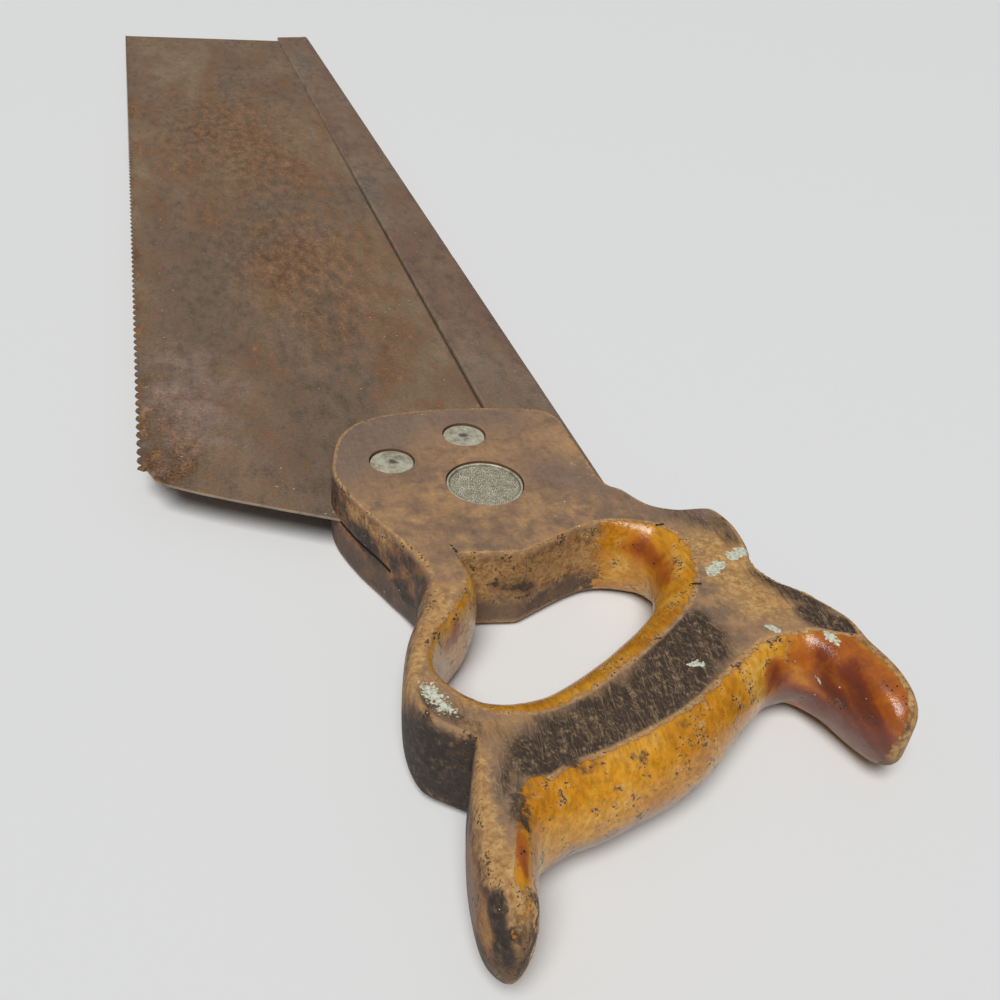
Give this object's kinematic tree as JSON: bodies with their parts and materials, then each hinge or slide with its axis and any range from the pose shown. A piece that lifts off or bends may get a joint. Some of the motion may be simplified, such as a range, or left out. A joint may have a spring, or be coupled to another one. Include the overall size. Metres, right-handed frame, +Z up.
{
  "type": "mitre box back saw",
  "caption": "Long rectangular back saw for a mitre box: folded steel back, fine-toothed steel plate and a carved closed wooden handle held by saw screws and a medallion.",
  "frame": {"origin": "middle of the whole saw's box seen from above, on the plane of the handle's lower face", "axes": "+Y along the toothed edge from handle to toe, +X from the teeth to the steel back, +Z up out of the face with the medallion; the saw lies flat"},
  "size_m": [0.1744, 0.7912, 0.0252],
  "materials": {
    "handle_wood": "worn applewood, bare and grimy on the flats, amber varnish on the round edges",
    "plate_steel": "mottled brown patina with rust",
    "back_steel": "dark brown-grey patina",
    "screw_nickel": "dull nickel plate, worn",
    "medallion": "dull nickel plate, finely granular"
  },
  "bodies": {
    "root": {"handle": "handle_wood", "saw_plate": "plate_steel", "steel_back": "back_steel", "small_screws": "screw_nickel", "small_nuts": "screw_nickel", "medallion_screw": "screw_nickel", "medallion_disc": "medallion", "medallion_nut": "screw_nickel"}
  },
  "joints": []
}
